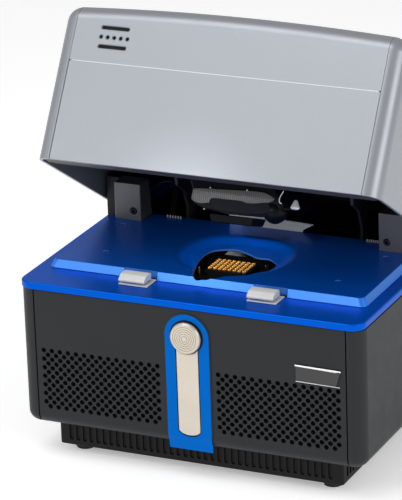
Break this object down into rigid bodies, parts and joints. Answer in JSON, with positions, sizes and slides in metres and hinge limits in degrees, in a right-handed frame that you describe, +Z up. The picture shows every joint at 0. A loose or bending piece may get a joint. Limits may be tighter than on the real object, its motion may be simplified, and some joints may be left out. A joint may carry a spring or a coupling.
{
  "type": "thermal cycler",
  "caption": "Compact benchtop real-time thermal cycler with a raised clamshell lid and optics head, a small gold well block in a dished blue deck, and a front button.",
  "frame": {"origin": "bottom centre of the bounding box with the lid raised, on the table", "axes": "+X to the unit's right as its user faces it, +Y to its back, +Z up"},
  "size_m": [0.347, 0.3922, 0.4113],
  "materials": {
    "graphite_plastic": "fine-textured dark graphite moulding",
    "black_plastic": "satin black moulding",
    "rear_plastic": "satin near-black moulding",
    "rubber": "matt black",
    "gloss_blue": "high-gloss blue moulding",
    "blue_screw": "blue-coated steel",
    "silver_paint": "satin metallic silver paint on plastic",
    "champagne_metal": "satin champagne anodised",
    "bright_metal": "bright plated",
    "grey_metal": "satin grey",
    "aluminium": "plain extruded or pressed",
    "steel": "plain sheet and bar",
    "dark_steel": "black oxide",
    "black_metal": "satin black coat",
    "post_metal": "dark grey coated casting",
    "bronze": "plain bearing bronze",
    "gold": "gold plated",
    "ceramic": "white fired ceramic faces",
    "circuit_board": "green solder mask",
    "navy_plastic": "satin dark navy",
    "cream_plastic": "satin off-white"
  },
  "bodies": {
    "base": {"base_tray": "black_plastic", "foot_front_left": "rubber", "foot_front_right": "rubber", "foot_rear_left": "rubber", "foot_rear_right": "rubber", "base_plate": "steel", "side_cover_left": "graphite_plastic", "side_cover_right": "graphite_plastic", "front_panel": "graphite_plastic", "rear_panel": "graphite_plastic", "rim_bezel": "gloss_blue", "deck_cover": "gloss_blue", "deck_screw_front_left": "blue_screw", "deck_screw_front_right": "blue_screw", "deck_screw_rear_left": "blue_screw", "deck_screw_rear_right": "blue_screw", "centre_trim": "gloss_blue", "status_bar": "champagne_metal", "badge_plate": "bright_metal", "catch_plate_left": "cream_plastic", "catch_plate_right": "cream_plastic", "thermal_block": "gold", "well_frame": "black_plastic", "peltier_module": "ceramic", "heat_sink": "aluminium", "air_duct": "steel", "fan_housing": "black_plastic", "fan_guard": "bright_metal", "power_supply": "aluminium", "main_board": "circuit_board", "power_inlet": "black_plastic", "usb_socket": "bright_metal", "hinge_post_left": "post_metal", "hinge_post_right": "post_metal", "hinge_bush_left": "bronze", "hinge_bush_right": "bronze", "post_screw_left": "dark_steel", "post_screw_right": "dark_steel", "rear_floor": "black_plastic", "rear_cover": "rear_plastic"},
    "lid": {"lid_front_panel": "silver_paint", "lid_top_cover": "silver_paint", "lid_side_left": "silver_paint", "lid_side_right": "silver_paint", "lid_frame": "black_metal", "lid_arm_left": "black_metal", "lid_arm_right": "black_metal", "hinge_shaft": "steel"},
    "optics_head": {"head_body": "navy_plastic", "head_cover": "grey_metal", "head_bridge": "black_metal", "head_arm_left": "grey_metal", "head_arm_right": "grey_metal"},
    "heated_plate": {"heated_plate": "dark_steel"},
    "filter_wheel": {"filter_wheel": "black_metal"},
    "front_button": {"front_button": "champagne_metal"},
    "catch_left": {"lid_catch_left": "cream_plastic"},
    "catch_right": {"lid_catch_right": "cream_plastic"},
    "fan_rotor": {"fan_rotor": "black_plastic"},
    "power_switch": {"power_switch": "black_plastic"}
  },
  "joints": [
    {"name": "lid_hinge", "type": "hinge", "parent": "base", "child": "lid", "pos_m": [0, 0.01971, 0.154], "axis": [1, 0, 0], "range_deg": [0, 32]},
    {"name": "head_hinge", "type": "hinge", "parent": "base", "child": "optics_head", "pos_m": [0, 0.01971, 0.154], "axis": [1, 0, 0], "range_deg": [0, 20]},
    {"name": "heated_plate_slide", "type": "slide", "parent": "optics_head", "child": "heated_plate", "axis": [0, 0.342, 0.9397], "range_m": [0, 0.002], "stiffness_N_per_m": 1500},
    {"name": "filter_wheel_spin", "type": "hinge", "parent": "optics_head", "child": "filter_wheel", "pos_m": [0.006, -0.03302, 0.2562], "axis": [0, 0.342, 0.9397], "continuous": true},
    {"name": "front_button_press", "type": "slide", "parent": "base", "child": "front_button", "axis": [0, 1, 0], "range_m": [0, 0.0015], "stiffness_N_per_m": 400},
    {"name": "catch_left_press", "type": "slide", "parent": "base", "child": "catch_left", "axis": [0, 0, -1], "range_m": [0, 0.0014], "stiffness_N_per_m": 900},
    {"name": "catch_right_press", "type": "slide", "parent": "base", "child": "catch_right", "axis": [0, 0, -1], "range_m": [0, 0.0014], "stiffness_N_per_m": 900},
    {"name": "fan_spin", "type": "hinge", "parent": "base", "child": "fan_rotor", "pos_m": [0, 0.10221, 0.087], "axis": [0, 1, 0], "continuous": true},
    {"name": "power_switch_rock", "type": "hinge", "parent": "base", "child": "power_switch", "pos_m": [-0.09, 0.11671, 0.075], "axis": [1, 0, 0], "range_deg": [0, 11]}
  ],
  "couplings": [
    {"joint": "head_hinge", "follows": "lid_hinge", "ratio": 0.625}
  ]
}
